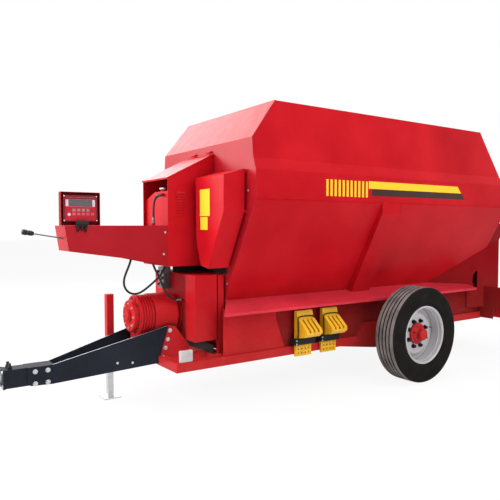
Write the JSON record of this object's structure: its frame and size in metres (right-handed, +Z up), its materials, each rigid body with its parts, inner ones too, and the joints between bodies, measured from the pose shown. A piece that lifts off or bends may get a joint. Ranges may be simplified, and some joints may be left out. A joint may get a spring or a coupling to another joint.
{
  "type": "feed mixer wagon",
  "caption": "Towed feed mixer wagon with an open folded-sheet tub, horizontal mixing augers, single axle, splayed drawbar, parking jack, control boom and side discharge door.",
  "frame": {"origin": "on the ground under the middle of the wagon's length and width", "axes": "+X forward to the tow eye, +Y to the wagon's left side, +Z up"},
  "size_m": [6.085, 2.3, 2.731],
  "materials": {
    "red_paint": "gloss",
    "dark_red_paint": "satin",
    "charcoal_paint": "satin",
    "tyre_rubber": "matte",
    "wheel_paint": "satin",
    "bare_steel": "brushed",
    "galvanised": "satin",
    "yellow_plastic": "matte",
    "black_plastic": "matte",
    "hose_rubber": "satin",
    "dark_steel": "satin",
    "lamp_white": "gloss",
    "display_plastic": "gloss"
  },
  "bodies": {
    "wagon": {"upper_sides": "red_paint", "lower_sides": "red_paint", "front_wall": "red_paint", "rear_wall": "red_paint", "rear_cover": "red_paint", "trough": "dark_red_paint", "side_ledges": "red_paint", "side_pillars": "red_paint", "chassis": "red_paint", "cradles": "dark_red_paint", "load_cells": "galvanised", "front_skirts": "red_paint", "side_panels": "red_paint", "axle": "dark_red_paint", "drawbar_plates": "charcoal_paint", "hitch_tube": "charcoal_paint", "tow_eye": "bare_steel", "jack_sleeve": "red_paint", "gearbox": "red_paint", "drive_case": "dark_red_paint", "valve_block": "dark_steel", "chain_guards": "red_paint", "lower_guards": "red_paint", "cabinet": "red_paint", "oil_tank": "red_paint", "boom": "red_paint", "display_housing": "dark_red_paint", "display": "display_plastic", "lever": "bare_steel", "loop_hose": "hose_rubber", "feed_hose": "hose_rubber", "tank_hose": "hose_rubber", "rear_bearings": "dark_red_paint", "wheel_chocks": "yellow_plastic", "chock_holders": "black_plastic", "front_lamps": "lamp_white", "rear_board": "red_paint", "door_cylinder": "galvanised", "door_guides": "red_paint", "discharge_chute": "red_paint"},
    "wheel_left": {"tyre_left": "tyre_rubber", "wheel_disc_left": "wheel_paint", "hub_left": "red_paint"},
    "wheel_right": {"tyre_right": "tyre_rubber", "wheel_disc_right": "wheel_paint", "hub_right": "red_paint"},
    "lower_auger_left": {"lower_auger_left": "bare_steel"},
    "lower_auger_right": {"lower_auger_right": "bare_steel"},
    "upper_auger_left": {"upper_auger_left": "bare_steel"},
    "upper_auger_right": {"upper_auger_right": "bare_steel"},
    "jack_leg": {"jack_leg": "galvanised"},
    "pto_shaft": {"pto_shaft": "bare_steel"},
    "cabinet_lid": {"cabinet_lid": "red_paint"},
    "discharge_door": {"discharge_door": "red_paint", "door_rod": "bare_steel"}
  },
  "joints": [
    {"name": "wheel_left_spin", "type": "hinge", "parent": "wagon", "child": "wheel_left", "pos_m": [-0.9605, 1.02, 0.492], "axis": [0, 1, 0], "continuous": true},
    {"name": "wheel_right_spin", "type": "hinge", "parent": "wagon", "child": "wheel_right", "pos_m": [-0.9605, -1.02, 0.492], "axis": [0, 1, 0], "continuous": true},
    {"name": "lower_auger_left_spin", "type": "hinge", "parent": "wagon", "child": "lower_auger_left", "pos_m": [0, 0.19, 0.79], "axis": [1, 0, 0], "continuous": true},
    {"name": "lower_auger_right_spin", "type": "hinge", "parent": "wagon", "child": "lower_auger_right", "pos_m": [0, -0.19, 0.79], "axis": [1, 0, 0], "continuous": true},
    {"name": "upper_auger_left_spin", "type": "hinge", "parent": "wagon", "child": "upper_auger_left", "pos_m": [0, 0.519, 1.79], "axis": [1, 0, 0], "continuous": true},
    {"name": "upper_auger_right_spin", "type": "hinge", "parent": "wagon", "child": "upper_auger_right", "pos_m": [0, -0.519, 1.79], "axis": [1, 0, 0], "continuous": true},
    {"name": "pto_spin", "type": "hinge", "parent": "wagon", "child": "pto_shaft", "pos_m": [1.7525, 0, 0.55], "axis": [1, 0, 0], "continuous": true},
    {"name": "jack_slide", "type": "slide", "parent": "wagon", "child": "jack_leg", "axis": [0, 0, 1], "range_m": [0, 0.3]},
    {"name": "door_slide", "type": "slide", "parent": "wagon", "child": "discharge_door", "axis": [0, -0.4819, 0.8762], "range_m": [0, 0.3]},
    {"name": "lid_hinge", "type": "hinge", "parent": "wagon", "child": "cabinet_lid", "pos_m": [1.0165, 0, 2.316], "axis": [0, -1, 0], "range_deg": [0, 70]}
  ],
  "couplings": [
    {"joint": "lower_auger_right_spin", "follows": "lower_auger_left_spin", "ratio": -1},
    {"joint": "upper_auger_left_spin", "follows": "lower_auger_left_spin", "ratio": 0.6},
    {"joint": "upper_auger_right_spin", "follows": "lower_auger_left_spin", "ratio": -0.6}
  ]
}
